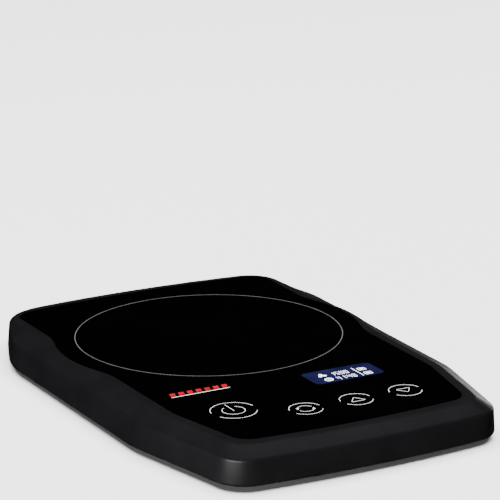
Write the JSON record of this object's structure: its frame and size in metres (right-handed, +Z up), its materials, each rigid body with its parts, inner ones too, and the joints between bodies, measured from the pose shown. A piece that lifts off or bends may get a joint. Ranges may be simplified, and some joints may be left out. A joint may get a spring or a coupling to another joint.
{
  "type": "magnetic stirrer",
  "caption": "Slim glass-topped magnetic stirrer with touch controls, a small display and a motor that spins magnets under a printed ring.",
  "frame": {"origin": "centre of the footprint, on the surface that the feet stand on", "axes": "+Z up, +Y from the controls at the front to the power inlet at the rear, +X to the right seen from the controls"},
  "size_m": [0.1572, 0.2368, 0.018],
  "materials": {
    "case_black": "fine satin texture",
    "glass_black": "polished glass, printed black on its back",
    "rubber": "matt",
    "foam": "closed-cell foam",
    "steel": "ground",
    "zinc": "zinc plated",
    "brass": "turned",
    "board_green": "solder mask",
    "chip_black": "moulded",
    "connector_white": "moulded",
    "display_blue": "lit panel",
    "cable_grey": "flat cable jacket",
    "copper": "enamelled copper wire",
    "lamination": "stacked sheet",
    "magnet": "nickel plated",
    "carrier_white": "moulded",
    "print_white": "screen print on the glass",
    "print_red": "screen print on the glass"
  },
  "bodies": {
    "base": {"top_housing": "case_black", "base_plate": "case_black", "glass_plate": "glass_black", "glass_gasket": "foam", "foot_front_left": "rubber", "foot_front_right": "rubber", "foot_rear_left": "rubber", "foot_rear_right": "rubber", "case_screw_1": "zinc", "case_screw_2": "zinc", "case_screw_3": "zinc", "case_screw_4": "zinc", "case_screw_5": "zinc", "case_screw_6": "zinc", "control_board": "board_green", "control_screw_1": "zinc", "control_screw_2": "zinc", "control_screw_3": "zinc", "control_screw_4": "zinc", "microcontroller": "chip_black", "touch_chip": "chip_black", "buzzer": "chip_black", "control_connector": "connector_white", "display_panel": "display_blue", "display_frame": "chip_black", "touch_pad_power": "foam", "touch_pad_mode": "foam", "touch_pad_up": "foam", "touch_pad_down": "foam", "power_board": "board_green", "power_screw_1": "zinc", "power_screw_2": "zinc", "power_connector": "connector_white", "inductor": "chip_black", "driver_chip": "chip_black", "capacitor": "steel", "dc_jack_body": "chip_black", "dc_jack_pin": "brass", "ribbon_cable": "cable_grey", "motor_plate": "zinc", "motor_screw_1": "zinc", "motor_screw_2": "zinc", "motor_screw_3": "zinc", "bearing_sleeve": "brass", "lower_bearing": "steel", "upper_bearing": "steel", "stator_core": "lamination", "stator_coil_1": "copper", "stator_coil_2": "copper", "stator_coil_3": "copper", "stator_coil_4": "copper", "stator_coil_5": "copper", "stator_coil_6": "copper"},
    "rotor": {"rotor_shaft": "steel", "rotor_cup": "zinc", "rotor_ring_magnet": "magnet", "magnet_carrier": "carrier_white", "drive_magnet_north": "magnet", "drive_magnet_south": "magnet"}
  },
  "joints": [
    {"name": "rotor_spin", "type": "hinge", "parent": "base", "child": "rotor", "pos_m": [0, 0.028, 0.01], "axis": [0, 0, 1], "continuous": true}
  ]
}
